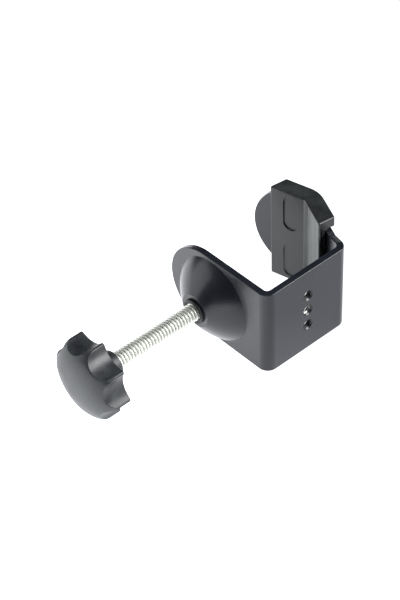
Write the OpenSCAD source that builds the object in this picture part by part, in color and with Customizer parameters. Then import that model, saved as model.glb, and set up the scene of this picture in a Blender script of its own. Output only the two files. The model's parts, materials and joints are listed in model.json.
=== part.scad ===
// Screw clamp for studio gear: a bent steel bracket with a V-shaped jaw, and a
// hand-turned spindle that carries a tilting pressure pad.
// Millimetres. The web's outer face lies in the plane y = 0 and faces -Y, the
// centre socket's mouth is at the origin, the spindle runs along X, +Z is up.

/* [Bracket] */
// Outside width of the web across its two bends
web_w = 60; // [56:1:66]
// Height of the sheet at the web
sheet_h = 55; // [54:1:60]
// Thickness of the sheet
sheet_t = 4; // [3.5:0.25:4.5]
// Inside radius of the web's two bends
bend_r = 2.25; // [1.5:0.25:3]
// Reach of both legs from the web's outer face
leg_reach = 75.5; // [74:0.5:80]

/* [Sockets] */
// Bore radius of the tapped sockets, the minor radius of a 1/4 inch - 20 thread
socket_r = 2.6; // [2.5:0.05:2.65]
// Distance between neighbouring sockets
socket_pitch = 10.5; // [9:0.5:14]

/* [Boss] */
// Distance of the spindle's axis from the web's outer face
spindle_y = 41.5; // [40:0.5:43]
// Radius of the domed boss where it leaves the leg
boss_r = 26; // [24:0.5:26.5]
// Height of the boss above the leg, without the bush
boss_h = 13.4; // [12:0.2:14.5]

/* [Jaw] */
// Outward lean of the jaw's first half, in degrees
jaw_out = 24; // [20:1:26]
// Inward lean of the jaw's second half, in degrees
jaw_in = 14; // [10:1:16]
// Distance of the jaw's V line from the web's outer face
jaw_v_y = 39.5; // [38:0.5:42]
// Height of the jaw between its straight edges
jaw_h = 48; // [46:1:50]
// Radius of the jaw's rounded end
jaw_end_r = 28; // [26:1:32]

/* [Jaw pad] */
// Height of the pad
pad_h = 63; // [61:1:66]
// Thickness of the pad in front of the jaw
pad_front = 4.6; // [4:0.2:5]
// Thickness of the pad behind the jaw
pad_back = 1.8; // [1.6:0.1:2.4]
// Distance of the pad's two ends from the web's outer face
pad_ends = [17.8, 59.8]; // [15:0.2:65]

/* [Spindle] */
// Outside diameter of the trapezoidal thread
thread_d = 10; // [10:1:10]
// Pitch of the thread
thread_p = 2; // [1.5:0.5:2]
// Length of thread that shows between the boss and the knob
thread_show = 54.5; // [52:0.5:60]

/* [Knob] */
// Diameter of the knob over its ridges
knob_d = 47.4; // [44:0.2:50]
// Length of the knob without its hub
knob_len = 17.6; // [16:0.2:20]
// Number of finger flutes
flutes = 8; // [6:1:9]
// Depth of a flute
flute_depth = 4.6; // [3:0.2:5]

/* [Pressure pad] */
// Diameter of the pressure cup
cup_d = 26; // [24:1:28]
// Diameter of the ball that the cup tilts on
ball_d = 9; // [8:0.5:9]

/* [Hidden] */
$fn = 96;

black_paint = [0.13, 0.13, 0.14];
dark_plastic = [0.22, 0.23, 0.24];
knob_plastic = [0.10, 0.10, 0.11];
zinc = [0.80, 0.80, 0.78];
steel = [0.62, 0.63, 0.64];
nylon = [0.88, 0.87, 0.82];

joint_gap = 0.05;                    // radial play of parts that turn or slide
seat_gap = 0.1;                      // play between the jaw and its pad
bend_out = bend_r + sheet_t;
half_w = web_w / 2;
half_h = sheet_h / 2;
half_jaw = jaw_h / 2;
leg_x = -half_w;                     // outer face of the front leg

// ---- bracket -------------------------------------------------------------

// A flat piece of sheet standing on edge: its outline is drawn in (y, z), and
// its thickness grows along +X
module on_edge(thick) rotate([90, 0, 90]) linear_extrude(thick) children();

// A bend of the sheet about a vertical line at the origin, from +X round by turn
module bend(inner, thick, height, turn)
    rotate_extrude(angle = turn) translate([inner, -height / 2]) square([thick, height]);

module web() translate([-half_w + bend_out, 0, -half_h])
    cube([web_w - 2 * bend_out, sheet_t, sheet_h]);

module front_leg() translate([leg_x, 0, 0]) on_edge(sheet_t) {
    translate([bend_out, -half_h]) square([leg_reach - bend_out - half_h, sheet_h]);
    translate([leg_reach - half_h, 0]) circle(half_h);
}

// Jaw: two flat halves and the V bend between them. The first half starts at
// the end of the web's rear bend, and its shoulders step it down to jaw_h.
v_turn = jaw_out + jaw_in;
v_bend_r = 3;                        // inside radius of the V bend
v_tangent = v_bend_r * tan(v_turn / 2);
v_steps = 6;
end_spare = 2;                       // how far the plan runs past the rounded end
shoulder_at = 0.5;                   // where the tapering shoulders start and end
shoulder_len = 11;
jaw_start_y = bend_out - bend_r * sin(jaw_out);
jaw_start_x = half_w - bend_out + bend_r * cos(jaw_out);
half_1 = (jaw_v_y - jaw_start_y) / cos(jaw_out) - v_tangent;
half_2 = (leg_reach - jaw_v_y) / cos(jaw_in) - v_tangent;

// Frame of the jaw's first half: its inner face is the plane x = bend_r
module first_half() translate([half_w - bend_out, bend_out]) rotate(-jaw_out) children();
// Frame of the second half: its inner face is the plane x = v_bend_r
module second_half() first_half() translate([bend_r - v_bend_r, half_1]) rotate(v_turn) children();

// Arc of the V bend in the first half's frame, from angle a to b, and the end
// of a line that leaves it along the second half
function v_arc(r, a, b) = [for (i = [0:v_steps]) let (at = a + (b - a) * i / v_steps)
    [bend_r - v_bend_r + r * cos(at), half_1 + r * sin(at)]];
function jaw_end(r) = [bend_r - v_bend_r + r * cos(v_turn) - (half_2 + end_spare) * sin(v_turn),
                       half_1 + r * sin(v_turn) + (half_2 + end_spare) * cos(v_turn)];

// The jaw's sheet, grown by grow on every side: its plan stands as high as the
// web, and is cut down to the shoulders, the straight edges and the rounded end
module jaw_sheet(grow = 0) {
    inner = v_bend_r - grow;
    outer = v_bend_r + sheet_t + grow;
    edge = half_jaw + grow;
    root = half_h + grow;
    slope = (shoulder_len - shoulder_at) / (root - edge);
    difference() {
        first_half() translate([0, 0, -root]) linear_extrude(2 * root) polygon(concat(
            [[bend_r - grow, 0]], v_arc(inner, 0, v_turn), [jaw_end(inner), jaw_end(outer)],
            v_arc(outer, v_turn, 0), [[bend_out + grow, 0]]));
        for (side = [0, 1]) mirror([0, 0, side]) first_half()
            translate([-leg_reach, 0, 0]) on_edge(2 * leg_reach)
                polygon([[shoulder_at - slope, root + 1], [shoulder_len, edge],
                         [leg_reach, edge], [leg_reach, root + 1]]);
        second_half() on_edge(v_bend_r + bend_out) difference() {
            translate([half_2 - jaw_end_r / 2, -root - 1]) square([jaw_end_r, 2 * root + 2]);
            translate([half_2 - jaw_end_r, 0]) circle(jaw_end_r + grow);
        }
    }
}

// Boss: a shell of revolution about the spindle's axis. Its outside is part
// cone and part dome, and runs from boss_r at the leg to boss_lip_r at the bush.
boss_lip_r = 7.3;
bush_out = 1.5;                      // how far the bush stands out of the boss
bush_body_r = 6.4;
boss_steps = 14;
dome_share = 0.4;
roof_t = 3.6;                        // thickness of the boss at its tip
cavity_r = 22.8;                     // mouth of the hollow behind the boss
cavity_tip_r = 10;
cavity_h = boss_h - roof_t + sheet_t;
function boss_curve(t) = (1 - dome_share) * (1 - t) + dome_share * (1 - t * t);
boss_outside = [for (i = [0:boss_steps]) let (h = boss_h * i / boss_steps)
    [boss_lip_r + (boss_r - boss_lip_r) * boss_curve(h / (boss_h + bush_out)), h]];
boss_inside = [for (i = [boss_steps:-1:0]) let (t = i / boss_steps)
    [cavity_tip_r + (cavity_r - cavity_tip_r) * boss_curve(t), -sheet_t + cavity_h * t]];

// Stands a shape of revolution on the spindle's axis, its own +Z along -X
module on_spindle(x = 0) translate([x, spindle_y, 0]) rotate([0, -90, 0]) children();

module boss() on_spindle(leg_x) rotate_extrude()
    polygon(concat([[boss_r, -sheet_t]], boss_outside,
                   [[bush_body_r, boss_h], [bush_body_r, boss_h - roof_t]], boss_inside));

module bracket() color(black_paint) {
    difference() {
        union() {
            web();
            difference() {
                front_leg();
                on_spindle(leg_x) translate([0, 0, -sheet_t - 1])
                    cylinder(r = boss_r - 1, h = sheet_t + 2);
            }
        }
        for (step = [-1:1]) translate([0, -1, step * socket_pitch])
            rotate([-90, 0, 0]) cylinder(r = socket_r, h = sheet_t + 2);
    }
    boss();
    translate([-half_w + bend_out, bend_out, 0]) rotate(180) bend(bend_r, sheet_t, sheet_h, 90);
    translate([half_w - bend_out, bend_out, 0]) rotate(-90)
        bend(bend_r, sheet_t, sheet_h, 90 - jaw_out);
    jaw_sheet();
}

// ---- threaded bush in the tip of the boss ----------------------------------

bush_r = thread_d / 2 + joint_gap;
bush_flange_r = 9;
bush_flange_t = 2.5;
module spindle_bush() color(black_paint) on_spindle(leg_x) rotate_extrude() polygon([
    [bush_r, boss_h - roof_t - bush_flange_t], [bush_flange_r, boss_h - roof_t - bush_flange_t],
    [bush_flange_r, boss_h - roof_t], [bush_body_r, boss_h - roof_t], [bush_body_r, boss_h],
    [boss_lip_r, boss_h], [boss_lip_r, boss_h + bush_out], [bush_r, boss_h + bush_out]]);

// ---- jaw pad ----------------------------------------------------------------

// Two lines run along the jaw's inner face in plan and meet at the V line. Both
// are moved by d towards the gap, and v_point gives where they meet then.
v_line = [jaw_start_x + (jaw_v_y - jaw_start_y) * tan(jaw_out), jaw_v_y];
dir_1 = [-sin(jaw_out), -cos(jaw_out)];
dir_2 = [-sin(jaw_in), cos(jaw_in)];
in_1 = [-cos(jaw_out), sin(jaw_out)];
in_2 = [-cos(jaw_in), -sin(jaw_in)];
function v_point(d) = v_line + d * (in_1 + in_2) / (1 + in_1 * in_2);
// Point on a moved line where it crosses the slanting end plane of the pad
pad_end_lean = 8;
function pad_end(d, dir, y) =
    let (v = v_point(d), run = (y - v[1] - (v[0] - v_line[0]) * tan(pad_end_lean))
         / (dir[1] + dir[0] * tan(pad_end_lean)))
    v + run * dir;
back_d = -(sheet_t + pad_back);
back_round = 18;                     // radius of the pad's back over the V line
back_arc = [for (a = [-jaw_out:(jaw_out + jaw_in) / 10:jaw_in + 0.01])
    v_point(back_round + back_d) + back_round * [cos(a), sin(a)]];
corner_cut = 2.6;                    // small flat at the pad's tip corner
pad_tip = pad_end(pad_front, dir_2, pad_ends[1]);
pad_plan = concat([pad_end(pad_front, dir_1, pad_ends[0]), pad_end(back_d, dir_1, pad_ends[0])],
                  back_arc,
                  [pad_end(back_d, dir_2, pad_ends[1]), pad_tip + corner_cut * [1, 0.1],
                   pad_tip, v_point(pad_front)]);

hook_z = 18;                         // how far down the hooks reach
lip_z = 24.9;                        // lower edge of the pad behind the jaw
hook_w = 9;
hook_run = 9.5;                      // from the V bend to the middle of a hook
window_d = 30;                       // reach of the open window in the pad's back
module hook_row(y) for (side = [-1, 1])
    translate([0, y - hook_w / 2, side > 0 ? hook_z : -lip_z - 1])
        cube([pad_back - seat_gap, hook_w, lip_z + 1 - hook_z]);

pocket_w = 9.5;
pocket_h = 23.5;
pocket_t = 0.8;
pocket_z = 17;
pocket_y = 8.8;                      // from the V line, along the pad's face
module pocket(z) translate([v_bend_r - pad_front - 1, pocket_y, z]) rotate([0, 90, 0]) {
    straight = pocket_h - pocket_w;
    for (side = [-1, 1]) translate([side * straight / 2, 0, 0])
        cylinder(d = pocket_w, h = 1 + pocket_t);
    translate([-straight / 2, -pocket_w / 2, 0]) cube([straight, pocket_w, 1 + pocket_t]);
}

module jaw_pad() color(dark_plastic) {
    difference() {
        translate([0, 0, -pad_h / 2]) linear_extrude(pad_h) polygon(pad_plan);
        jaw_sheet(seat_gap);
        translate([0, 0, -lip_z]) linear_extrude(2 * lip_z) polygon([
            v_point(-sheet_t / 2) + window_d * dir_1, v_point(-sheet_t / 2),
            v_point(-sheet_t / 2) + window_d * dir_2, v_point(-window_d) + window_d * dir_2,
            v_point(-window_d), v_point(-window_d) + window_d * dir_1]);
        for (side = [-1, 1]) second_half() pocket(side * pocket_z);
    }
    first_half() translate([bend_out + seat_gap, 0, 0]) hook_row(half_1 - hook_run);
    second_half() translate([v_bend_r + sheet_t + seat_gap, 0, 0]) hook_row(hook_run);
}

// ---- spindle -----------------------------------------------------------------

lip_x = leg_x - boss_h - bush_out;   // outer end of the bush
hub_x = lip_x - thread_show;         // face of the knob's hub
thread_depth = 1.25;
thread_root = thread_d / 2 - thread_depth;
spindle_tip_x = -36.2;               // inner end of the thread
spindle_tail = 12;                   // length of thread inside the knob
spindle_len = spindle_tip_x - hub_x + spindle_tail;
crest = 0.366 * thread_p;            // width of a thread's crest
flank = thread_depth * tan(15);
ridges = floor(spindle_len / thread_p) - 1;
stud_r = 2.75;
stud_depth = 12;
// Ridges stand for the thread: same crest, root and pitch, without the helix
module spindle() color(zinc) on_spindle(hub_x - spindle_tail) difference() {
    translate([0, 0, -spindle_len]) rotate_extrude() polygon(concat(
        [[0, 0], [thread_root, 0]],
        [for (i = [0:ridges - 1]) let (z = (i + 0.5) * thread_p)
            each [[thread_root, z], [thread_d / 2, z + flank],
                  [thread_d / 2, z + flank + crest], [thread_root, z + 2 * flank + crest]]],
        [[thread_root, spindle_len], [0, spindle_len]]));
    translate([0, 0, -spindle_len - 1]) cylinder(r = stud_r, h = stud_depth + 1);
}

// ---- ball stud pressed into the spindle's end ---------------------------------

ball_x = -30;
neck_len = ball_x - spindle_tip_x;
module ball_stud() color(steel) on_spindle(ball_x) {
    sphere(ball_d / 2);
    cylinder(r = stud_r, h = neck_len + stud_depth);
}

washer_t = 0.9;
washer_w = 4.2;
module thrust_washer() color(steel) on_spindle(spindle_tip_x + washer_t + joint_gap)
    rotate_extrude() translate([stud_r + joint_gap, 0]) square([washer_w, washer_t]);

// ---- pressure pad --------------------------------------------------------------

cup_r = cup_d / 2;
cup_back_x = -33.4;
cup_floor_x = ball_x + ball_d / 2 + joint_gap;
cup_floor_t = 2.55;
cup_front_x = cup_floor_x + cup_floor_t;
flange_x = -28;
cup_hub_r = 9.2;
pocket_r = 7;
seat_r = 6.3;
seat_back_x = -31.8;
seat_front_x = -29.4;
ring_x = -33.0;                      // rear side of the snap ring's groove
ring_t = 0.6;
ring_r = 7.8;
ring_bore = 5.4;
press_gap = 0.02;                    // between pieces that are pressed or moulded together

// Ring profile from x = a to x = b with inner and outer radius
module ring(a, b, inner, outer)
    on_spindle(b) rotate_extrude() translate([inner, 0]) square([outer - inner, b - a]);

module pressure_cup() color(zinc) difference() {
    union() {
        ring(cup_back_x, flange_x, 0, cup_hub_r);
        ring(flange_x, cup_front_x, 0, cup_r);
    }
    on_spindle(cup_floor_x) cylinder(r = pocket_r, h = cup_floor_x - cup_back_x + 1);
    on_spindle(ring_x + ring_t) cylinder(r = ring_r, h = ring_t);
}

module seat_ring() color(steel)
    ring(ring_x, ring_x + ring_t - press_gap, ring_bore, ring_r - press_gap);

module ball_seat() color(nylon) difference() {
    ring(seat_back_x, seat_front_x, 0, seat_r);
    on_spindle(ball_x) sphere(ball_d / 2 + joint_gap);
}

facing_t = 3;
facing_r = cup_r + 0.6;
module pressure_facing() color(dark_plastic)
    ring(cup_front_x, cup_front_x + facing_t, 0, facing_r);

// ---- knob ------------------------------------------------------------------------

hub_len = 8.8;
hub_r = 9;
hub_tip_r = 7.5;
hub_fillet = 1;
knob_r = knob_d / 2;
knob_back_x = hub_x - hub_len;
flute_r = 12.85;
dome_start = 6;                      // length of the parallel part of the rim
dome_power = 2.5;
dome_steps = 16;
dome_len = knob_len - dome_start;
insert_r = 6.2;
insert_af = 12.4;
insert_len = 13;
insert_collar = 2;
ridge_phase = 10.6;                  // turn of the first ridge from +Y towards +Z
rim_round = 0.8;
module knob() color(knob_plastic) on_spindle(knob_back_x) difference() {
    rotate_extrude() polygon(concat(
        [[0, -hub_len], [hub_tip_r, -hub_len], [hub_r, -hub_fillet], [hub_r + hub_fillet, 0],
         [knob_r - rim_round, 0], [knob_r, rim_round]],
        [for (i = [0:dome_steps]) let (t = i / dome_steps)
            [knob_r * pow(1 - pow(t, dome_power), 1 / dome_power), dome_start + dome_len * t]]));
    for (i = [0:flutes - 1]) rotate(90 - ridge_phase + (i + 0.5) * 360 / flutes)
        translate([knob_r - flute_depth + flute_r, 0, -0.5])
            cylinder(r = flute_r, h = knob_len + 1);
    translate([0, 0, -hub_len - 1]) cylinder(r = insert_r, h = insert_collar + 1);
    translate([0, 0, insert_collar - hub_len])
        cylinder(d = insert_af / cos(30), h = insert_len - insert_collar, $fn = 6);
}

// A round collar at the hub's face, and a hexagon behind it that can't turn
module knob_insert() color(zinc) on_spindle(hub_x) difference() {
    union() {
        cylinder(r = insert_r - press_gap, h = insert_collar);
        translate([0, 0, insert_collar]) cylinder(d = (insert_af - 2 * press_gap) / cos(30),
            h = insert_len - insert_collar - press_gap, $fn = 6);
    }
    translate([0, 0, -1]) cylinder(r = thread_d / 2 + press_gap, h = insert_len + 2);
}

bracket();
spindle_bush();
jaw_pad();
thrust_washer();
spindle();
ball_stud();
knob();
knob_insert();
ball_seat();
pressure_cup();
seat_ring();
pressure_facing();
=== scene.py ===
"""Looks of a screw clamp for studio gear: a bent steel bracket with a padded V jaw,
and a hand-turned spindle with a fluted knob.

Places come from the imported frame. Lengths are millimetres up to the stage's
section, and Builder.vertex turns them into metres. The sheet's bends, the jaw's
angles and the knob's flutes repeat the named sizes of the part's source.
"""
import json
from math import atan2, cos, pi, radians, sin, sqrt, tan

import bmesh
import bpy
from mathutils import Matrix, Vector


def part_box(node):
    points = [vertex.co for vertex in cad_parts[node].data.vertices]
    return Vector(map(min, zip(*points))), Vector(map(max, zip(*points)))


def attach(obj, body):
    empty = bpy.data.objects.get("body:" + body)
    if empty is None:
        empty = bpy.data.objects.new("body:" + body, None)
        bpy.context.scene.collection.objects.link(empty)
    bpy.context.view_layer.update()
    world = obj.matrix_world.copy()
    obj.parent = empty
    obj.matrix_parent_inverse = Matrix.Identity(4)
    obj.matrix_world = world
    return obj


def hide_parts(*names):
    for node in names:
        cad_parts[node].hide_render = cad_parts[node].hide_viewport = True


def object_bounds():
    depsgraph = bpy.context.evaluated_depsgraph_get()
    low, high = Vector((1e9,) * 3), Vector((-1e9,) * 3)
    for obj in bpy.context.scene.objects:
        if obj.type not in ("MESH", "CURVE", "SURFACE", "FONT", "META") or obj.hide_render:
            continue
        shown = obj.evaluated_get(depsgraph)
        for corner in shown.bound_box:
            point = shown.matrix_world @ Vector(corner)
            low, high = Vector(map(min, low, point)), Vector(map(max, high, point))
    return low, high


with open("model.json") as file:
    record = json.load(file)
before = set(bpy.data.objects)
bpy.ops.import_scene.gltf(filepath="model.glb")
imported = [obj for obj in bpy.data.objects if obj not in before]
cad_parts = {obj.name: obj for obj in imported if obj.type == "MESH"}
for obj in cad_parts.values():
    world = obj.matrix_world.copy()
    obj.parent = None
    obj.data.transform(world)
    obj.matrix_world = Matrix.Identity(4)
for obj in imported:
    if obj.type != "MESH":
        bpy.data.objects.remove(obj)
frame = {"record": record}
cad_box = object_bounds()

MM = 0.001


def box_mm(node):
    low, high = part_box(node)
    return low / MM, high / MM


# ---- sizes -------------------------------------------------------------------

bracket_low, bracket_high = box_mm("bracket")
bush_low, bush_high = box_mm("spindle_bush")
pad_high = box_mm("jaw_pad")[1]
screw_low, screw_high = box_mm("spindle")
knob_low, knob_high = box_mm("knob")

SHEET = 4.0
BEND_IN = 2.25                      # inside radius of the web's two bends
BEND_OUT = BEND_IN + SHEET
BEND_MID = (BEND_IN + BEND_OUT) / 2
HALF_WEB = 30.0
FLAT = HALF_WEB - BEND_OUT          # half the flat part of the web
HALF_H = bracket_high.z
LEG_REACH = 75.5                    # from the web's outer face to the legs' tips
JAW_OUT = radians(24)               # how the jaw's first half leans out from the web
JAW_IN = radians(14)                # how its second half leans back in
V_TURN = JAW_OUT + JAW_IN
V_Y = 39.5                          # the V line's distance from the web's outer face
V_IN = 3.0                          # inside radius of the V bend
V_OUT = V_IN + SHEET
V_MID = (V_IN + V_OUT) / 2
HALF_JAW = 24.0
JAW_END_R = 28.0
SHOULDER = 11.0                     # how far along the jaw it has come down to HALF_JAW
RIM = 0.55                          # rounding along the sheet's edges

LEG_X = -HALF_WEB
AXIS_Y = (screw_low.y + screw_high.y) / 2
CREST_R = screw_high.z              # the spindle's thread
THREAD_HEIGHT = 1.25
BOSS_R = 26.0
BOSS_H = LEG_X - bracket_low.x
BUSH_R = 6.38                       # where the bush goes through the boss's tip
BUSH_HOLE_R = 6.42
LIP_R = 7.3
LIP_X = bush_low.x

FRONT_RUN = BEND_MID * pi / 2       # developed length of the front bend
REAR_TURN = pi / 2 - JAW_OUT
REAR_RUN = BEND_MID * REAR_TURN
V_RUN = V_MID * V_TURN
JAW_START = Vector((FLAT + BEND_IN * cos(JAW_OUT), BEND_OUT - BEND_IN * sin(JAW_OUT)))
V_TANGENT = V_IN * tan(V_TURN / 2)
HALF_1 = (V_Y - JAW_START.y) / cos(JAW_OUT) - V_TANGENT
HALF_2 = (LEG_REACH - V_Y) / cos(JAW_IN) - V_TANGENT

TURN = 2 * pi
ROUND = 128                         # points round the large turned shapes


# ---- mesh tools -----------------------------------------------------------------

class Builder:
    """Collects faces by the places of their corners, so that patches which share
    an edge are joined there."""

    def __init__(self):
        self.points, self.index, self.faces = [], {}, []

    def vertex(self, point):
        key = tuple(round(c * 1000) for c in point)
        if key not in self.index:
            self.index[key] = len(self.points)
            self.points.append(tuple(c * MM for c in point))
        return self.index[key]

    def face(self, points, slot=0):
        ids = [self.vertex(p) for p in points]
        ids = [v for i, v in enumerate(ids) if v != ids[i - 1]]
        if len(set(ids)) > 2:
            self.faces.append((ids, slot))

    def grid(self, rows, closed=False, slot=0):
        """Quads between each row of points and the next one. Closed rows are rings."""
        for low, high in zip(rows, rows[1:]):
            pairs = list(zip(low, high))
            if closed:
                pairs.append(pairs[0])
            for (a, b), (c, d) in zip(pairs, pairs[1:]):
                self.face((a, c, d, b), slot)

    def make(self, name, materials, sharp=35):
        mesh = bpy.data.meshes.new(name)
        mesh.from_pydata(self.points, [], [ids for ids, _ in self.faces])
        for material in materials:
            mesh.materials.append(material)
        for polygon, (_, slot) in zip(mesh.polygons, self.faces):
            polygon.material_index = slot
            polygon.use_smooth = True
        tidy_mesh(mesh)
        mesh.set_sharp_from_angle(angle=radians(sharp))
        piece = bpy.data.objects.new(name, mesh)
        bpy.context.scene.collection.objects.link(piece)
        weighted = piece.modifiers.new("weighted normals", "WEIGHTED_NORMAL")
        weighted.keep_sharp = True
        return piece


def tidy_mesh(mesh):
    """Merges corners that meet, drops what is left over and turns the faces outward."""
    work = bmesh.new()
    work.from_mesh(mesh)
    bmesh.ops.remove_doubles(work, verts=work.verts, dist=2e-6)
    bmesh.ops.dissolve_degenerate(work, edges=work.edges, dist=1e-7)
    loose = [v for v in work.verts if not v.link_faces]
    bmesh.ops.delete(work, geom=loose, context="VERTS")
    bmesh.ops.recalc_face_normals(work, faces=work.faces)
    work.to_mesh(mesh)
    work.free()


def blend_line(a, b, share):
    return a + (b - a) * share


def steps(first, last, count):
    return [blend_line(first, last, i / count) for i in range(count + 1)]


def rounded(corners, count=5, closed=False):
    """Outline of (x, y, radius) corners, each replaced by an arc of its radius, or by the
    largest one that its neighbours leave room for."""
    out = []
    for i, (x, y, radius) in enumerate(corners):
        here = Vector((x, y))
        if not radius or (not closed and i in (0, len(corners) - 1)):
            out.append(here)
            continue
        before = Vector(corners[i - 1][:2]) - here
        after = Vector(corners[(i + 1) % len(corners)][:2]) - here
        room = 0.49 * min(before.length, after.length)
        u, w = before.normalized(), after.normalized()
        half = u.angle(w) / 2
        if abs(half - pi / 2) < 1e-3:           # no corner to speak of
            out.append(here)
            continue
        reach = min(radius / tan(half), room)
        arc_r = reach * tan(half)
        centre = here + (u + w).normalized() * arc_r / sin(half)
        start, end = here + u * reach - centre, here + w * reach - centre
        turn = start.angle_signed(end)
        out += [centre + Matrix.Rotation(-turn * k / count, 2) @ start for k in range(count + 1)]
    return out


def normals_of(outline):
    """Normal of a closed outline at each point, scaled so that an offset is even."""
    out = []
    for i, here in enumerate(outline):
        a = (here - outline[i - 1]).normalized()
        b = (outline[(i + 1) % len(outline)] - here).normalized()
        mean = (a + b).normalized()
        out.append(Vector((mean.y, -mean.x)) / max(mean.dot(a), 0.5))
    area = sum(p.cross(q) for p, q in zip(outline, outline[1:] + outline[:1]))
    return out if area > 0 else [-n for n in out]


def around(x, radius, count=ROUND, start=0.0, turn=TURN):
    """Ring of points about the spindle's axis; radius may be a function of the angle."""
    ring = []
    for k in range(count if turn == TURN else count + 1):
        at = start + turn * k / count
        r = radius(at) if callable(radius) else radius
        ring.append((x, AXIS_Y + r * cos(at), r * sin(at)))
    return ring


def lathe(builder, profile, count=ROUND, slot=0):
    """Turns a profile of (x, r) points about the spindle's axis."""
    builder.grid([around(x, r, count) for x, r in profile], closed=True, slot=slot)


def turned(name, corners, material, body, node):
    """A piece turned from a closed profile of (x, r, radius) corners."""
    builder = Builder()
    profile = rounded(corners, 4, closed=True)
    lathe(builder, profile + profile[:1])
    finish_piece(builder.make(name, [material]), body, node)


def finish_piece(piece, body, node):
    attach(piece, body)
    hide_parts(node)


# ---- materials ----------------------------------------------------------------------

def material_nodes(name):
    material = bpy.data.materials.new(name)
    material.use_nodes = True
    nodes, links = material.node_tree.nodes, material.node_tree.links
    return material, nodes, links, nodes["Principled BSDF"]


def noise(nodes, links, size, detail=3.0, stretch=(1, 1, 1)):
    """Noise whose grain is size millimetres, in the object's own coordinates."""
    place = nodes.new("ShaderNodeTexCoord")
    mapping = nodes.new("ShaderNodeMapping")
    mapping.inputs["Scale"].default_value = stretch
    texture = nodes.new("ShaderNodeTexNoise")
    texture.inputs["Scale"].default_value = 1 / (size * MM)
    texture.inputs["Detail"].default_value = detail
    links.new(place.outputs["Object"], mapping.inputs["Vector"])
    links.new(mapping.outputs["Vector"], texture.inputs["Vector"])
    return texture.outputs["Fac"]


def spread(nodes, links, value, low, high, at=(0.3, 0.7)):
    """Maps a value from the range at, which is a noise's usual one, to low..high."""
    ramp = nodes.new("ShaderNodeMapRange")
    ramp.inputs["From Min"].default_value = at[0]
    ramp.inputs["From Max"].default_value = at[1]
    ramp.inputs["To Min"].default_value = low
    ramp.inputs["To Max"].default_value = high
    links.new(value, ramp.inputs["Value"])
    return ramp.outputs["Result"]


def axis_distance(nodes, links):
    """Distance from the spindle's axis, in metres."""
    place = nodes.new("ShaderNodeTexCoord")
    mapping = nodes.new("ShaderNodeMapping")
    mapping.inputs["Location"].default_value = (0, -AXIS_Y * MM, 0)
    mapping.inputs["Scale"].default_value = (0, 1, 1)
    length = nodes.new("ShaderNodeVectorMath")
    length.operation = "LENGTH"
    links.new(place.outputs["Object"], mapping.inputs["Vector"])
    links.new(mapping.outputs["Vector"], length.inputs[0])
    return length.outputs["Value"]


def two_colours(nodes, links, value, dark, light):
    ramp = nodes.new("ShaderNodeValToRGB")
    for stop, place, colour in zip(ramp.color_ramp.elements, (0.35, 0.65), (dark, light)):
        stop.position = place
        stop.color = (*colour, 1)
    links.new(value, ramp.inputs["Fac"])
    return ramp.outputs["Color"]


def bump(nodes, links, shader, value, height, below=None):
    """Bump of height millimetres, laid over the bump below it."""
    node = nodes.new("ShaderNodeBump")
    node.inputs["Strength"].default_value = 1.0
    node.inputs["Distance"].default_value = height * MM
    links.new(value, node.inputs["Height"])
    if below:
        links.new(below, node.inputs["Normal"])
    links.new(node.outputs["Normal"], shader.inputs["Normal"])
    return node.outputs["Normal"]


def painted_steel():
    """Black stove enamel: an even film with faint orange peel and a few dull places."""
    material, nodes, links, shader = material_nodes("black_enamel")
    patches = noise(nodes, links, 18, 2)
    grain = noise(nodes, links, 0.5, 2)
    links.new(two_colours(nodes, links, patches, (0.006, 0.007, 0.012), (0.010, 0.011, 0.018)),
              shader.inputs["Base Color"])
    links.new(spread(nodes, links, patches, 0.27, 0.36), shader.inputs["Roughness"])
    peel = bump(nodes, links, shader, noise(nodes, links, 1.6, 1), 0.004)
    bump(nodes, links, shader, grain, 0.0015, peel)
    shader.inputs["Specular IOR Level"].default_value = 0.42
    shader.inputs["Coat Weight"].default_value = 0.15
    shader.inputs["Coat Roughness"].default_value = 0.16
    return material


def bare_steel():
    """Steel that a screw has rubbed bright in the thread of a socket."""
    material, nodes, links, shader = material_nodes("worn_steel")
    shader.inputs["Metallic"].default_value = 1.0
    grain = noise(nodes, links, 0.3, 4)
    links.new(two_colours(nodes, links, grain, (0.16, 0.16, 0.15), (0.50, 0.49, 0.47)),
              shader.inputs["Base Color"])
    links.new(spread(nodes, links, grain, 0.32, 0.50), shader.inputs["Roughness"])
    return material


def zinc_plate(name="zinc_plate", low=0.20, high=0.34, thread=None):
    """Bright zinc with cloudy places. A thread, given by its root and crest radius, is
    painted darker towards its root: painted shade in the thread's grooves."""
    material, nodes, links, shader = material_nodes(name)
    shader.inputs["Metallic"].default_value = 1.0
    cloud = noise(nodes, links, 6, 3)
    colour = two_colours(nodes, links, cloud, (0.76, 0.77, 0.73), (0.88, 0.89, 0.84))
    if thread:
        root, crest = (r * MM for r in thread)
        height = spread(nodes, links, axis_distance(nodes, links), 0.0, 1.0, (root, crest))
        # painted shade: the colour is mixed towards a dark grey near the thread's root
        root_shade = nodes.new("ShaderNodeMix")
        root_shade.data_type = "RGBA"
        root_shade.inputs["A"].default_value = (0.42, 0.43, 0.40, 1)
        links.new(height, root_shade.inputs["Factor"])
        links.new(colour, root_shade.inputs["B"])
        colour = root_shade.outputs["Result"]
    links.new(colour, shader.inputs["Base Color"])
    links.new(spread(nodes, links, cloud, low, high), shader.inputs["Roughness"])
    bump(nodes, links, shader, noise(nodes, links, 0.8, 2), 0.002)
    return material


def moulded(name, dark, light, rough, grain_size, grain_height, flow=(1, 1, 1)):
    """Moulded plastic: spark-eroded grain, and flow marks stretched along one way."""
    material, nodes, links, shader = material_nodes(name)
    marks = noise(nodes, links, 7, 3, flow)
    grain = noise(nodes, links, grain_size, 3)
    links.new(two_colours(nodes, links, marks, dark, light), shader.inputs["Base Color"])
    links.new(spread(nodes, links, marks, *rough), shader.inputs["Roughness"])
    wave = bump(nodes, links, shader, marks, 0.02)
    bump(nodes, links, shader, grain, grain_height, wave)
    return material


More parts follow.
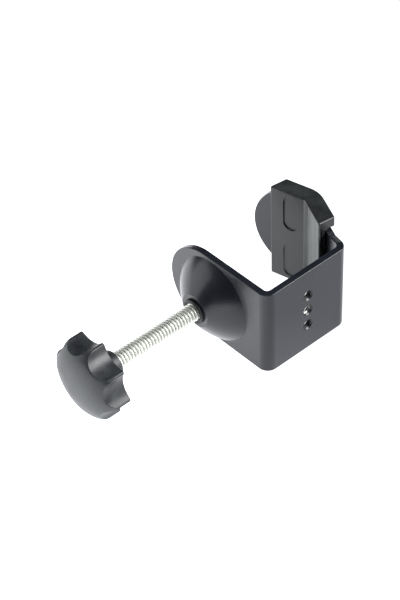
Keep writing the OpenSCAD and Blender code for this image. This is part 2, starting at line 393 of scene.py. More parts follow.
enamel = painted_steel()
worn_steel = bare_steel()
zinc = zinc_plate()
thread_zinc = zinc_plate("thread_zinc", 0.50, 0.60, (CREST_R - THREAD_HEIGHT, CREST_R - 0.7))
hard_steel = zinc_plate("hardened_steel", 0.14, 0.24)
knob_plastic = moulded("knob_plastic", (0.012, 0.013, 0.018), (0.032, 0.036, 0.037),
                       (0.34, 0.48), 0.35, 0.006)
pad_plastic = moulded("pad_plastic", (0.013, 0.014, 0.015), (0.026, 0.029, 0.029),
                      (0.25, 0.38), 0.5, 0.003, (1, 1, 0.12))
# painted light: a lighter plastic for the jaw pad's first front facet stands in for light falling on that
# side; its stretched noise gives faint flow marks
lit_facet_plastic = moulded("lit_facet_plastic", (0.075, 0.083, 0.079), (0.180, 0.198, 0.186),
                         (0.28, 0.42), 0.5, 0.003, (2, 2, 0.06))
dull_black = moulded("dull_black", (0.005, 0.005, 0.006), (0.010, 0.010, 0.012),
                     (0.50, 0.65), 0.3, 0.004)
facing_plastic = moulded("facing_plastic", (0.022, 0.022, 0.023), (0.032, 0.032, 0.033),
                         (0.45, 0.58), 0.3, 0.008)
nylon = moulded("nylon", (0.70, 0.68, 0.62), (0.80, 0.78, 0.72), (0.35, 0.45), 0.4, 0.003)


# ---- bracket ------------------------------------------------------------------------

def fold(s, z, d):
    """Point of the folded sheet: s runs along it from the middle of the web, z
    stands across it, and d goes through it from its outer skin."""
    side = 1 if s > 0 else -1
    turn_all = REAR_TURN if s > 0 else pi / 2
    past = max(abs(s) - FLAT, 0)
    turn = min(past / BEND_MID, turn_all)
    past = max(past - BEND_MID * turn_all, 0)
    if not turn:
        return (s, d, z)
    centre = Vector((side * FLAT, BEND_OUT))
    out = Vector((side * sin(turn), -cos(turn)))
    along = Vector((side * cos(turn), sin(turn)))
    if s < 0 or past <= HALF_1:
        place = centre + out * (BEND_OUT - d) + along * past
        return (place.x, place.y, z)
    centre += out * (BEND_IN - V_IN) + along * HALF_1
    v_turn = min((past - HALF_1) / V_MID, V_TURN)
    past = max(past - HALF_1 - V_MID * v_turn, 0)
    way = REAR_TURN + v_turn
    place = centre + Vector((sin(way), -cos(way))) * (V_OUT - d) + Vector((cos(way), sin(way))) * past
    return (place.x, place.y, z)


FRONT_BEND = steps(-FLAT - FRONT_RUN, -FLAT, 12)
REAR_BEND = steps(FLAT, FLAT + REAR_RUN, 10)
JAW_S = FLAT + REAR_RUN
V_BEND = steps(JAW_S + HALF_1, JAW_S + HALF_1 + V_RUN, 8)
TIP_S = V_BEND[-1] + HALF_2
LEG_ARC_S = -FLAT - FRONT_RUN - (LEG_REACH - HALF_H - BEND_OUT)


def half_outline():
    """Upper half of the sheet's outline in (s, z), from the front leg's tip to the jaw's tip,
    and where each named stretch begins and ends in it."""
    arc = [Vector((LEG_ARC_S - HALF_H * cos(a), HALF_H * sin(a))) for a in steps(0, pi / 2, 26)]
    front = [Vector((s, HALF_H)) for s in FRONT_BEND]
    rear = [Vector((s, HALF_H)) for s in REAR_BEND]
    shoulder = rounded([(JAW_S, HALF_H, 0), (JAW_S + 0.8, HALF_H, 2), (JAW_S + SHOULDER, HALF_JAW, 6),
                        (V_BEND[0], HALF_JAW, 0)])[1:-1]
    v_part = [Vector((s, HALF_JAW)) for s in V_BEND]
    end_centre = TIP_S - JAW_END_R
    meet = atan2(HALF_JAW, sqrt(JAW_END_R ** 2 - HALF_JAW ** 2))
    end = [Vector((end_centre + JAW_END_R * cos(a), JAW_END_R * sin(a))) for a in steps(meet, 0, 20)]
    near = end[1]
    corner = rounded([(V_BEND[-1], HALF_JAW, 0), (end[0].x, end[0].y, 4), (near.x, near.y, 0)])[1:-1]
    parts, marks = [], {}
    for name, part in (("arc", arc), ("front", front), ("rear", rear), ("shoulder", shoulder),
                       ("v", v_part), ("end", corner + end[1:])):
        marks[name] = (len(parts), len(parts) + len(part))
        parts += part
    return parts, marks


OUTLINE_HALF, MARKS = half_outline()
LOWER_HALF = [Vector((p.x, -p.y)) for p in OUTLINE_HALF[-2:0:-1]]
OUTLINE = OUTLINE_HALF + LOWER_HALF
OUTLINE_NORMALS = normals_of(OUTLINE)
INSET = [p - n * RIM for p, n in zip(OUTLINE, OUTLINE_NORMALS)]
ARC_STEPS = 4
RIM_PROFILE = ([(-RIM * (1 - sin(a)), RIM * (1 - cos(a))) for a in steps(0, pi / 2, ARC_STEPS)]
               + [(-RIM * (1 - cos(a)), SHEET - RIM * (1 - sin(a))) for a in steps(0, pi / 2, ARC_STEPS)])


def stretch(name):
    first, last = MARKS[name]
    return INSET[first:last]


def lower(points):
    """The same points on the lower half, in the same order."""
    return [Vector((p.x, -p.y)) for p in points]


SOCKETS = [m for m in frame["record"]["mounts"] if m["kind"] == "threaded_hole"]
PITCH = abs(SOCKETS[0]["pos_m"][2] - SOCKETS[1]["pos_m"][2]) / MM
ROWS = [1.5 * PITCH, 0.5 * PITCH, -0.5 * PITCH, -1.5 * PITCH]
TOP_ROW = stretch("front")[0].y
SOCKET_R = SOCKETS[0]["dims"]["r_mm"]
SINK_R = SOCKET_R + 0.95            # rim of a socket's countersink
HOLE_POINTS = 64
THREAD_PITCH = 1.27
THREAD_DEPTH = 0.55
WORN, DULL = 1, 2                   # material slots of the sockets' threads
HOLLOW_R = 22.8                     # the boss's hollow, at the leg and at its roof
HOLLOW_TIP_R = 10.0
ROOF = 3.6                          # thickness of the boss's tip


def skin(builder, d, ring_r):
    """One side of the sheet. The boss or its hollow leaves a hole of ring_r in the front leg."""
    def patch(points):
        builder.face([fold(p[0], p[1], d) for p in points])

    ring = [Vector((ring_s(AXIS_Y + ring_r * cos(a)), ring_r * sin(a)))
            for a in steps(0, pi, ROUND // 2)]
    row_ends = [Vector((FRONT_BEND[0], z)) for z in (TOP_ROW, *ROWS[:2])]
    leg = stretch("arc") + row_ends + ring[::-1]
    patch(leg)
    patch(lower(leg))
    # the two halves of the leg leave a triangle between the middle socket's rows
    patch([(FRONT_BEND[0], ROWS[1]), (FRONT_BEND[0], ROWS[2]), ring[-1]])
    for bend in (FRONT_BEND, REAR_BEND):
        for high, low in zip([TOP_ROW, *ROWS], [*ROWS, -TOP_ROW]):
            builder.grid([[fold(s, high, d), fold(s, low, d)] for s in bend])
    for z in (1, -1):
        patch([(-FLAT, z * TOP_ROW), (FLAT, z * TOP_ROW), (FLAT, z * ROWS[0]), (0, z * ROWS[0]),
               (-FLAT, z * ROWS[0])])
    for high, low in zip(ROWS, ROWS[1:]):
        middle = (high + low) / 2
        for side in (-1, 1):
            edge = [(side * SINK_R * sin(a), middle + SINK_R * cos(a))
                    for a in steps(0, pi, HOLE_POINTS // 2)]
            patch([(side * FLAT, high), (0, high), *edge, (0, low), (side * FLAT, low)])
    root = [Vector((JAW_S, z)) for z in ROWS]
    shoulder = stretch("shoulder")
    v_start, v_end = stretch("v")[0], stretch("v")[-1]
    first = ([Vector((JAW_S, TOP_ROW))] + shoulder + [v_start] + lower([v_start])
             + lower(shoulder)[::-1] + [Vector((JAW_S, -TOP_ROW))] + root[::-1])
    patch(first)
    builder.grid([[fold(p.x, p.y, d), fold(p.x, -p.y, d)] for p in stretch("v")])
    end = stretch("end")
    patch([v_end] + end + lower(end)[-2::-1] + lower([v_end]))


def ring_s(y):
    """Where along the sheet a point of the front leg lies that is y from the web's face."""
    return -FLAT - FRONT_RUN - (y - BEND_OUT)


def rim(builder):
    """The rounded edge all round the sheet."""
    rows = []
    for e, d in RIM_PROFILE:
        rows.append([fold(*(p + n * e), d) for p, n in zip(OUTLINE, OUTLINE_NORMALS)])
    builder.grid(rows, closed=True)


def socket(builder, height, slot):
    """A tapped hole through the web: countersunk rims and a helical thread between."""
    def ring(depth, radius):
        points = []
        for k in range(HOLE_POINTS):
            at = TURN * k / HOLE_POINTS
            points.append((radius(at) * cos(at), depth, height + radius(at) * sin(at)))
        return points

    def plain(points):
        """Rings of one radius each, from (radius, depth) points."""
        return [ring(p.y, lambda at, r=p.x: r) for p in points]

    def thread(depth):
        fade = min(1, (depth - start) / 0.4, (end - depth) / 0.4)
        return lambda at: SOCKET_R + THREAD_DEPTH * fade * (
            1 - abs(2 * ((depth / THREAD_PITCH - at / TURN) % 1) - 1))

    start, end = 0.95, SHEET - 0.75     # depths where the countersinks end
    edge_r, soft = SINK_R - 0.12, 0.15
    mouth = plain(rounded([(SINK_R, 0, 0), (edge_r, 0, soft), (SOCKET_R, start, soft),
                           (SOCKET_R, start + 0.1, 0)])[:-1])
    foot = plain(rounded([(SOCKET_R, end - 0.1, 0), (SOCKET_R, end, soft), (edge_r, SHEET, soft),
                          (SINK_R, SHEET, 0)])[1:])
    turns = [ring(y, thread(y)) for y in steps(start + 0.1, end - 0.1, 22)]
    builder.grid(mouth, closed=True)
    builder.grid([mouth[-1], *turns, foot[0]], closed=True, slot=slot)
    builder.grid(foot, closed=True)


def boss_shape(share):
    """How much of its foot's width the boss keeps at a share of its height: part cone, part dome."""
    return 0.6 * (1 - share) + 0.4 * (1 - share ** 2)


def boss_radius(height):
    return LIP_R + (BOSS_R - LIP_R) * boss_shape(height / (LEG_X - LIP_X))


def hollow_radius(share):
    return HOLLOW_TIP_R + (HOLLOW_R - HOLLOW_TIP_R) * boss_shape(share)


def boss_profiles():
    """Outside and inside of the boss as (x, r), each from the leg to the bush."""
    tip_x = LEG_X - BOSS_H
    foot = [(LEG_X, BOSS_R + 0.35, 0), (LEG_X, BOSS_R, 0.5)]
    wall = [(LEG_X - h, boss_radius(h), 0) for h in steps(0.35, BOSS_H - 0.35, 26)]
    tip = [(tip_x, boss_radius(BOSS_H), 0.5), (tip_x, BUSH_HOLE_R + 0.2, 0.2),
           (tip_x + 0.3, BUSH_HOLE_R, 0)]
    inner_x = LEG_X + SHEET
    roof_x = tip_x + ROOF
    mouth = [(inner_x, HOLLOW_R + 1.8, 0), (inner_x, HOLLOW_R, 1.8)]
    inner_wall = [(blend_line(inner_x, roof_x, t), hollow_radius(t), 0) for t in steps(0.12, 0.97, 20)]
    roof = [(roof_x, HOLLOW_TIP_R, 1.0), (roof_x, BUSH_HOLE_R, 0.2), (roof_x - 0.4, BUSH_HOLE_R, 0)]
    return rounded(foot + wall + tip, 4), rounded(mouth + inner_wall + roof, 4)


def make_bracket():
    builder = Builder()
    outside, inside = boss_profiles()
    skin(builder, 0, outside[0].y)
    skin(builder, SHEET, inside[0].y)
    rim(builder)
    lathe(builder, outside + inside[::-1])
    for mount in SOCKETS:
        height = mount["pos_m"][2] / MM
        socket(builder, height, WORN if abs(height) < 1 else DULL)
    piece = builder.make("bracket_body", [enamel, worn_steel, dull_black])
    finish_piece(piece, "frame", "bracket")


# ---- bush -------------------------------------------------------------------------

def make_bush():
    """A bush with a lip outside the boss's tip and a flange inside it."""
    bore = CREST_R + 0.06
    back = bush_high.x
    tip_x = LEG_X - BOSS_H
    lip_back, flange_x, flange_r = tip_x + 0.02, tip_x + ROOF, 9
    corners = [(LIP_X + 0.25, bore, 0.1), (LIP_X + 0.25, bore + 0.75, 0.1), (LIP_X, bore + 0.95, 0.15),
               (LIP_X, LIP_R, 0.35), (lip_back, LIP_R, 0.1), (lip_back, BUSH_R, 0.1),
               (flange_x, BUSH_R, 0.1), (flange_x, flange_r, 0.3), (back, flange_r, 0.4), (back, bore, 0.3)]
    turned("bush_body", corners, dull_black, "frame", "spindle_bush")


# ---- spindle ----------------------------------------------------------------------

THREAD_COLUMNS = 48
SPINDLE_PITCH = 2.0
ROOT_R = CREST_R - THREAD_HEIGHT
STUD_HOLE_R = 2.78                  # hole in the inner end for the ball stud
STUD_HOLE_LEN = 12
# one pitch of the thread's profile: share of the pitch, and height between root and crest
THREAD_FORM = [(0.02, 0.0), (0.25, 0.0), (0.305, 0.08), (0.445, 0.92), (0.50, 1.0), (0.77, 1.0),
               (0.825, 0.92), (0.965, 0.08)]


def thread_rows(low, high, run_out):
    """Rows of a right-hand helical thread. Its points keep to the helix, so the row after a
    whole turn lies one pitch further on."""
    first = int(low // SPINDLE_PITCH) - 2
    last = int(high // SPINDLE_PITCH) + 2
    rows = []
    for turn in range(first, last):
        for share, height in THREAD_FORM:
            row = []
            for k in range(THREAD_COLUMNS):
                at = TURN * k / THREAD_COLUMNS
                x = SPINDLE_PITCH * (turn + share + k / THREAD_COLUMNS)
                fade = max(0, min(1, (x - low) / run_out, (high - x) / run_out))
                r = ROOT_R + (CREST_R - ROOT_R) * height * fade
                x = max(low, min(high, x))
                row.append((x, AXIS_Y + r * cos(at), r * sin(at)))
            rows.append(row)
    return rows


def make_spindle():
    builder = Builder()
    low, high = screw_low.x, screw_high.x
    chamfer = 0.3
    rows = thread_rows(low + chamfer, high - chamfer, 1.0)
    turn = len(THREAD_FORM)             # rows in a whole turn
    for i, row in enumerate(rows[:-turn - 1]):
        above = rows[i + 1]
        seam, seam_above = rows[i + turn][0], rows[i + turn + 1][0]
        for (a, b), (c, d) in zip(zip(row, above), zip(row[1:] + [seam], above[1:] + [seam_above])):
            builder.face((a, c, d, b))
    hole_end = high - STUD_HOLE_LEN
    outer_end = [(low + chamfer, ROOT_R), (low, ROOT_R - chamfer), (low, 0)]
    inner_end = [(high - chamfer, ROOT_R), (high, ROOT_R - chamfer), (high, STUD_HOLE_R),
                 (hole_end, STUD_HOLE_R), (hole_end, 0)]
    for profile in (outer_end, inner_end):
        lathe(builder, profile, THREAD_COLUMNS)
    finish_piece(builder.make("spindle_rod", [thread_zinc], 50), "screw", "spindle")


# ---- knob -------------------------------------------------------------------------

FLUTES = 8
FLUTE_R = 12.85
FLUTE_DEPTH = 4.6
KNOB_R = 23.7
RIDGE_PHASE = radians(10.6)
HUB_X = knob_high.x
KNOB_BACK = HUB_X - 8.8
DOME_X = KNOB_BACK - 6              # where the rim turns into the front dome
DOME_LEN = DOME_X - knob_low.x
DOME_POWER = 2.5
BORE_R = 6.22                       # bore for the insert
BORE_LEN = 13
INSERT_AF = 12.4                    # across the insert's flats
INSERT_COLLAR = 2.0
COLLAR_R = 6.15


def softened(a, b, width):
    """The smaller of a and b, with the corner between them rounded off."""
    near = max(width - abs(a - b), 0) / width
    return min(a, b) - near * near * width / 4


def fluted_radius(at):
    """Outside radius of the knob's rim in a direction, with the flutes cut in it."""
    sector = TURN / FLUTES
    off = (at - RIDGE_PHASE) % sector - sector / 2
    centre = KNOB_R - FLUTE_DEPTH + FLUTE_R
    side = centre * sin(off)
    flute = centre * cos(off) - sqrt(max(FLUTE_R ** 2 - side ** 2, 0))
    return softened(KNOB_R, flute, 1.1)


def dome_x(r):
    """Where the front dome's surface lies at a radius."""
    share = min(r / KNOB_R, 1)
    return DOME_X - DOME_LEN * (1 - share ** DOME_POWER) ** (1 / DOME_POWER)


def knob_column(at):
    """Half outline of the knob in one direction: dome, rim, back and hub, as (x, r)."""
    edge = fluted_radius(at)
    trim = edge - 0.9                   # where the dome stops for the rounded corner
    rim_x = KNOB_BACK - 3
    rise = [trim * sin(a) for a in steps(0, pi / 2, 18)]
    dome = [Vector((dome_x(r), r)) for r in rise]
    corner = rounded([(*dome[-1], 0), (dome_x(edge), edge, 1.5), (rim_x, edge, 0)], 5)[1:-1]
    tail = rounded([(rim_x, edge, 0), (KNOB_BACK, edge, 0.8), (KNOB_BACK, 10.2, 0.9),
                    (HUB_X - 7.8, 8.9, 0.5), (HUB_X, 7.5, 0.5), (HUB_X, BORE_R, 0.1),
                    (HUB_X - 1.2, BORE_R, 0)], 5)[1:]
    return dome + corner + tail


def knob_angles():
    """Directions round the knob, closer together at the ridges' edges."""
    sector = TURN / FLUTES
    share = [0, 0.012, 0.024, 0.034, 0.044, 0.054, 0.066, 0.082, 0.105]
    share += [0.14, 0.18, 0.23, 0.29, 0.36, 0.43]
    share += [0.5] + [1 - s for s in share[:0:-1]]
    return [RIDGE_PHASE + sector * (k + s) for k in range(FLUTES) for s in share]


def make_knob():
    builder = Builder()
    floor_x = HUB_X - BORE_LEN
    bore = [(floor_x, BORE_R), (floor_x, 0)]
    columns = []
    for at in knob_angles():
        columns.append([(x, AXIS_Y + r * cos(at), r * sin(at)) for x, r in [*knob_column(at), *bore]])
    builder.grid(list(zip(*columns)), closed=True)
    finish_piece(builder.make("knob_body", [knob_plastic], 40), "screw", "knob")


def make_insert():
    """Threaded insert: a hexagon in the knob, with a round collar at the hub's face."""
    low, high = box_mm("knob_insert")
    bore = CREST_R + 0.03
    collar_x = high.x - INSERT_COLLAR
    half = TURN / 12                    # half of one of the hexagon's sides

    def hexagon(corner_r):
        """Radius of the hexagon, chamfered where it is wider than corner_r."""
        return lambda at: softened(INSERT_AF / 2 / cos((at + half) % (2 * half) - half), corner_r, 0.2)

    corner = INSERT_AF / 2 / cos(half) - 0.2
    rings = [(low.x + 0.4, bore), (low.x, bore + 0.4), (low.x, hexagon(INSERT_AF / 2 - 0.3)),
             (low.x + 0.5, hexagon(corner)), (collar_x, hexagon(corner)), (collar_x, COLLAR_R),
             (high.x - 0.3, COLLAR_R), (high.x, COLLAR_R - 0.3), (high.x, bore + 0.5),
             (high.x - 0.5, bore), (low.x + 0.4, bore)]
    builder = Builder()
    builder.grid([around(x, r, 96) for x, r in rings], closed=True)
    finish_piece(builder.make("insert_body", [zinc]), "screw", "knob_insert")


# ---- pieces at the spindle's inner end -------------------------------------------------

ball_low, ball_high = box_mm("ball_stud")
BALL_R = ball_high.z
BALL_X = ball_high.x - BALL_R
NECK_R = 2.75


def sphere_arc(r, first, last, count):
    """Profile of a ball's surface of radius r, between two angles from its inner pole."""
    return [Vector((BALL_X + r * cos(a), r * sin(a))) for a in steps(first, last, count)]


def make_ball_stud():
    """A ball on a neck, whose foot is pressed into the spindle."""
    builder = Builder()
    ball = sphere_arc(BALL_R, 0, pi - atan2(NECK_R, sqrt(BALL_R ** 2 - NECK_R ** 2)), 24)
    foot = [(ball_low.x + 0.4, NECK_R), (ball_low.x, NECK_R - 0.4), (ball_low.x, 0)]
    lathe(builder, ball + foot, 64)
    finish_piece(builder.make("ball_stud_body", [hard_steel], 45), "screw", "ball_stud")


def make_washer():
    low, high = box_mm("thrust_washer")
    corners = [(low.x, 2.8, 0.15), (low.x, high.z, 0.25), (high.x, high.z, 0.25), (high.x, 2.8, 0.15)]
    turned("washer_body", corners, hard_steel, "thrust", "thrust_washer")


def make_ball_seat():
    """A ring whose bore is a zone of a ball, 0.05 mm clear of the ball stud."""
    low, high = box_mm("ball_seat")
    bowl_r = BALL_R + 0.05
    ends = [atan2(sqrt(bowl_r ** 2 - (x - BALL_X) ** 2), x - BALL_X) for x in (high.x, low.x)]
    bowl = sphere_arc(bowl_r, *ends, 10)
    outside = rounded([(*bowl[-1], 0), (low.x, high.z, 0.3), (high.x, high.z, 0.3), (*bowl[0], 0)], 4)
    builder = Builder()
    lathe(builder, bowl + outside[1:], 96)
    finish_piece(builder.make("seat_body", [nylon], 40), "seat", "ball_seat")


def make_cup():
    """The pressure pad's cup: a hub with a pocket for the seat, and a groove for the snap ring."""
    low, high = box_mm("pressure_cup")
    back, front, cup_r = low.x, high.x, high.z
    floor_x = BALL_X + BALL_R + 0.05
    pocket_r, hub_r, flange_x = 7.0, 9.2, -28
    groove_r, groove_x = 7.8, (-32.4, -33.0)
    corners = [(floor_x, 0, 0), (floor_x, pocket_r, 0.5), (groove_x[0], pocket_r, 0),
               (groove_x[0], groove_r, 0), (groove_x[1], groove_r, 0), (groove_x[1], pocket_r, 0),
               (back, pocket_r, 0.3), (back, hub_r, 0.6), (flange_x, hub_r, 1.0), (flange_x, cup_r, 0.6),
               (front, cup_r, 0.4), (front, 0, 0)]
    builder = Builder()
    lathe(builder, rounded(corners, 4), 96)
    finish_piece(builder.make("cup_body", [zinc]), "pad", "pressure_cup")


def make_snap_ring():
    """An open ring that sits in the cup's groove behind the seat."""
    low, high = box_mm("seat_ring")
    bore, gap = 5.4, radians(14)
    profile = rounded([(low.x, bore, 0.12), (low.x, high.z, 0.12), (high.x, high.z, 0.12),
                       (high.x, bore, 0.12)], 3, closed=True)
    builder = Builder()
    builder.grid([around(x, r, 72, gap / 2, TURN - gap) for x, r in profile + profile[:1]])
    for at in (gap / 2, TURN - gap / 2):
        builder.face([(x, AXIS_Y + r * cos(at), r * sin(at)) for x, r in profile])
    finish_piece(builder.make("snap_ring_body", [hard_steel]), "pad", "seat_ring")


def make_facing():
    """The pressure pad's face, with three ring grooves."""
    low, high = box_mm("pressure_facing")
    deep, half_w, half_floor = 0.5, 0.5, 0.25
    grooves = []
    for r in (4, 7, 10):
        grooves += [(high.x, r - half_w, 0.15), (high.x - deep, r - half_floor, 0.1),
                    (high.x - deep, r + half_floor, 0.1), (high.x, r + half_w, 0.15)]
    corners = [(high.x, 0, 0), *grooves, (high.x, high.z, 0.8), (low.x, high.z, 0.3), (low.x, 0, 0)]
    builder = Builder()
    lathe(builder, rounded(corners, 4), 96)
    finish_piece(builder.make("facing_body", [facing_plastic]), "pad", "pressure_facing")


# ---- jaw pad ------------------------------------------------------------------------

V_LINE = Vector((JAW_START.x + (V_Y - JAW_START.y) * tan(JAW_OUT), V_Y))
DIRS = (Vector((-sin(JAW_OUT), -cos(JAW_OUT))), Vector((-sin(JAW_IN), cos(JAW_IN))))
INWARD = (Vector((-cos(JAW_OUT), sin(JAW_OUT))), Vector((-cos(JAW_IN), -sin(JAW_IN))))
PAD_FRONT = 4.6                     # the pad's faces, from the jaw's inner face
PAD_BACK = -5.8
PAD_ENDS = (17.8, 59.8)             # y of its two ends at the V line's x
END_LEAN = tan(radians(8))
PAD_EDGE = 0.9                      # rounding of the pad's outer edges
POCKET_U = 8.8                      # from the V line to the pockets' middle
POCKET_W = 9.5
POCKET_H = 23.5
POCKET_Z = 17.0
POCKET_DEEP = 0.8
HOOK_U = 9.5 + V_TANGENT            # from the V line to the hooks' middle
HOOK_W = 9.0
HOOK_Z = 18.0                       # how far in the hooks and the lips between them reach
LIP_Z = 24.9
HOOK_FRONT = -4.2                   # the hooks' face towards the jaw
SLOT_BACK, SLOT_FRONT = -2.0, 0.1   # the slot that holds the jaw's edge
SLOT_Z = 24.1
# bend radius of the pad's V at distances from the jaw's inner face
BEND_RADII = ((PAD_BACK, 18.0), (-4.1, 7.1), (0.1, 2.9), (PAD_FRONT, 1.6))
V_STEPS = 8
LIT_FACET = 1                          # material slot of the first half's front face, painted lighter as painted light


def v_point(off):
    """Where the two lines meet that run off millimetres before the jaw's inner face."""
    return V_LINE + off * (INWARD[0] + INWARD[1]) / (1 + INWARD[0].dot(INWARD[1]))


def bend_radius(off):
    for (low, r_low), (high, r_high) in zip(BEND_RADII, BEND_RADII[1:]):
        if off <= high:
            return blend_line(r_low, r_high, max(off - low, 0) / (high - low))
    return BEND_RADII[-1][1]


def pad_place(station, off):
    """Plan point of the pad at a station: an angle in the V bend, a run along a half, or an end."""
    kind, half, value = station
    if kind == "bend":
        radius = bend_radius(off)
        return v_point(off + radius) + radius * Vector((cos(value), sin(value)))
    corner = v_point(off)
    way = DIRS[half]
    if kind == "run":
        return corner + way * value
    lean = PAD_ENDS[half] - corner.y - (corner.x - V_LINE.x) * END_LEAN
    return corner + way * (lean / (way.y + way.x * END_LEAN) - value)


def pad_section(lip):
    """The pad's C-shaped section in (off, z), from one slot round the front to the other."""
    half = pad_high.z
    upper = rounded([(PAD_FRONT, 0, 0), (PAD_FRONT, half, PAD_EDGE), (PAD_BACK, half, PAD_EDGE),
                     (PAD_BACK, 0, 0)], 5)[1:-1]
    upper += [Vector(p) for p in ((PAD_BACK, lip), (HOOK_FRONT, lip), (HOOK_FRONT, LIP_Z),
                                  (SLOT_BACK, LIP_Z), (SLOT_BACK, SLOT_Z), (SLOT_FRONT, SLOT_Z))]
    return [Vector((p.x, -p.y)) for p in upper[::-1]] + upper


def pad_stations():
    """Stations along the pad: (station, lip, inset). The inset rounds the two ends."""
    hooks = (HOOK_U - HOOK_W / 2, HOOK_U + HOOK_W / 2)
    ends = [(PAD_EDGE * (1 - sin(a)), PAD_EDGE * (1 - cos(a))) for a in steps(0, pi / 2, 4)]
    first = [(("end", 0, v), LIP_Z, inset) for inset, v in ends]
    first += [(("run", 0, hooks[1]), LIP_Z, 0), (("run", 0, hooks[1]), HOOK_Z, 0),
              (("run", 0, hooks[0]), HOOK_Z, 0), (("run", 0, hooks[0]), LIP_Z, 0)]
    bend = [(("bend", 0, a), LIP_Z, 0) for a in steps(-JAW_OUT, JAW_IN, V_STEPS)]
    second = [(("run", 1, hooks[0]), LIP_Z, 0), (("run", 1, hooks[0]), HOOK_Z, 0),
              (("run", 1, POCKET_U), HOOK_Z, 0), (("run", 1, hooks[1]), HOOK_Z, 0),
              (("run", 1, hooks[1]), LIP_Z, 0)]
    second += [(("end", 1, v), LIP_Z, inset) for inset, v in ends[::-1]]
    return first + bend + second


# how far in from the pocket's outline its wall lies, and how deep
POCKET_WALL = rounded([(-0.6, 0, 0), (0, 0, 0.25), (0.25, POCKET_DEEP, 0.3), (1.4, POCKET_DEEP, 0)], 4)[1:]


def pocket_loop(z, side, grow=POCKET_WALL[0].x):
    """Half of a pocket's outline as (u, z), from its top to its bottom."""
    r = POCKET_W / 2 - grow
    straight = (POCKET_H - POCKET_W) / 2
    top = [(POCKET_U + side * r * sin(a), z + straight + r * cos(a)) for a in steps(0, pi / 2, 12)]
    foot = [(POCKET_U + side * r * sin(a), z - straight + r * cos(a)) for a in steps(pi / 2, pi, 12)]
    return top + foot


def make_jaw_pad():
    builder = Builder()
    stations = pad_stations()
    rows = []
    for station, lip, inset in stations:
        section = pad_section(lip)
        if inset:
            normals = normals_of(section)
            section = [p - n * inset for p, n in zip(section, normals)]
        rows.append([(*pad_place(station, p.x), p.y) for p in section])
    count = len(rows[0])
    face_low = count // 2 - 1       # the section starts at the slot, so its front face lies half way
    for i, (row, after) in enumerate(zip(rows, rows[1:])):
        on_second = ("run", 1) in (stations[i][0][:2], stations[i + 1][0][:2])
        for k in range(count):
            if k == face_low and on_second:
                continue
            m = (k + 1) % count
            # painted light: the first half's front face gets the lighter plastic
            lit_facet = k == face_low and stations[i + 1][0][:2] in (("end", 0), ("run", 0))
            builder.face((row[k], row[m], after[m], after[k]), LIT_FACET if lit_facet else 0)
    builder.face(rows[0])
    builder.face(rows[-1])
    pockets(builder, rows, stations, face_low)
    piece = builder.make("jaw_pad_body", [pad_plastic, lit_facet_plastic])
    finish_piece(piece, "frame", "jaw_pad")


def pockets(builder, rows, stations, k):
    """The second half's front face, between the rows' points k and k + 1, with its two
    sunk pockets. Two faces meet along the pockets' middle line."""
    def on_face(u, z, sink=0.0):
        return (*pad_place(("run", 1, u), PAD_FRONT - sink), z)

    runs = [i for i, s in enumerate(stations) if s[0][:2] == ("run", 1)]
    middle = next(i for i in runs if stations[i][0][2] == POCKET_U)
    for side, span in ((-1, rows[runs[0] - 1:middle + 1]), (1, rows[runs[-1] + 1:middle - 1:-1])):
        border = [r[k + 1] for r in span]
        for z in (POCKET_Z, -POCKET_Z):
            border += [on_face(*p) for p in pocket_loop(z, side)]
        builder.face(border + [r[k] for r in span[::-1]])
    for z in (POCKET_Z, -POCKET_Z):
        loops = []
        for grow, sink in POCKET_WALL:
            loop = pocket_loop(z, 1, grow) + pocket_loop(z, -1, grow)[-2:0:-1]
            loops.append([on_face(u, h, sink) for u, h in loop])
        builder.grid(loops, closed=True)
        builder.face(loops[-1])


# ---- stage --------------------------------------------------------------------------

def make_floor():
    """White paper lit from below, a little brighter towards the back left."""
    material, nodes, links, shader = material_nodes("paper")
    fibres = noise(nodes, links, 4, 4)
    links.new(two_colours(nodes, links, fibres, (0.14, 0.14, 0.14), (0.16, 0.16, 0.16)),
              shader.inputs["Base Color"])
    shader.inputs["Roughness"].default_value = 0.9
    shader.inputs["Emission Color"].default_value = (0.95, 0.97, 1.0, 1)
    place = nodes.new("ShaderNodeTexCoord")
    along = nodes.new("ShaderNodeVectorMath")
    along.operation = "DOT_PRODUCT"
    along.inputs[1].default_value = (-0.65, 0.76, 0)
    links.new(place.outputs["Object"], along.inputs[0])
    glow = spread(nodes, links, along.outputs["Value"], 0.90, 2.15, (-0.03, 0.09))
    links.new(glow, shader.inputs["Emission Strength"])
    half = 3.0
    corners = [(x, y, cad_box[0].z) for x, y in ((-half, -half), (half, -half), (half, half), (-half, half))]
    mesh = bpy.data.meshes.new("floor")
    mesh.from_pydata(corners, [], [(0, 1, 2, 3)])
    mesh.materials.append(material)
    floor = bpy.data.objects.new("floor", mesh)
    bpy.context.scene.collection.objects.link(floor)


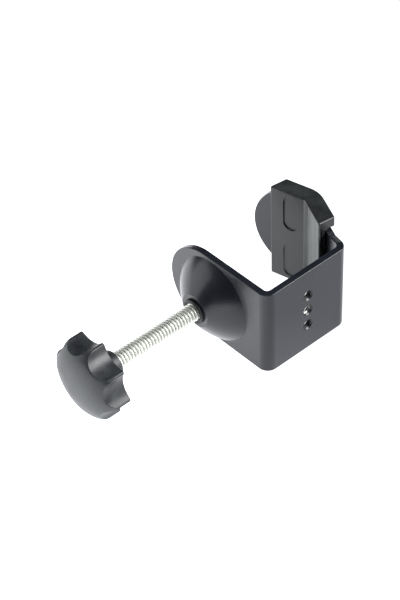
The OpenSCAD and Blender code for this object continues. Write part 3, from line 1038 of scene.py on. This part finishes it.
def area_light(name, place, target, size, power):
    data = bpy.data.lights.new(name, "AREA")
    data.shape = "RECTANGLE"
    data.size, data.size_y = size
    data.energy = power
    lamp = bpy.data.objects.new(name, data)
    lamp.location = place
    lamp.rotation_euler = (Vector(target) - Vector(place)).to_track_quat("-Z", "Y").to_euler()
    bpy.context.scene.collection.objects.link(lamp)


def make_lights():
    world = bpy.data.worlds.new("studio")
    bpy.context.scene.world = world
    world.use_nodes = True
    sky = world.node_tree.nodes["Background"]
    sky.inputs["Color"].default_value = (0.85, 0.92, 1, 1)
    sky.inputs["Strength"].default_value = 0.14
    middle = (-0.03, 0.03, 0)
    area_light("right_box", (0.50, -0.62, 0.60), middle, (0.8, 0.6), 19)
    area_light("left_box", (-0.50, 0.50, 0.22), middle, (0.5, 0.4), 1.3)
    area_light("top_box", (-0.25, 0.05, 1.0), middle, (0.5, 0.5), 1.2)


def make_camera():
    """Camera at azimuth -40.4, elevation 42.9 and a slight roll, given by where it stands."""
    azimuth, height, roll = radians(-40.36), radians(42.93), radians(-2.575)
    distance = 0.983
    aside, above = -0.05725, 0.00548
    back = Vector((sin(azimuth) * cos(height), -cos(azimuth) * cos(height), sin(height)))
    level = Vector((cos(azimuth), sin(azimuth), 0))
    upright = back.cross(level)
    right = cos(roll) * level + sin(roll) * upright
    up = -sin(roll) * level + cos(roll) * upright
    data = bpy.data.cameras.new("camera")
    data.sensor_fit = "VERTICAL"
    data.sensor_height = 36
    data.lens = 111.27
    data.clip_start = 0.05
    camera = bpy.data.objects.new("camera", data)
    place = right * aside + up * above + back * distance
    turn = Matrix((right, up, back)).transposed().to_4x4()
    camera.matrix_world = Matrix.Translation(place) @ turn
    bpy.context.scene.collection.objects.link(camera)
    bpy.context.scene.camera = camera


make_camera()
make_lights()
make_floor()
make_bracket()
make_bush()
make_jaw_pad()
make_spindle()
make_knob()
make_insert()
make_ball_stud()
make_washer()
make_ball_seat()
make_cup()
make_snap_ring()
make_facing()
bpy.context.scene.view_settings.view_transform = "Standard"
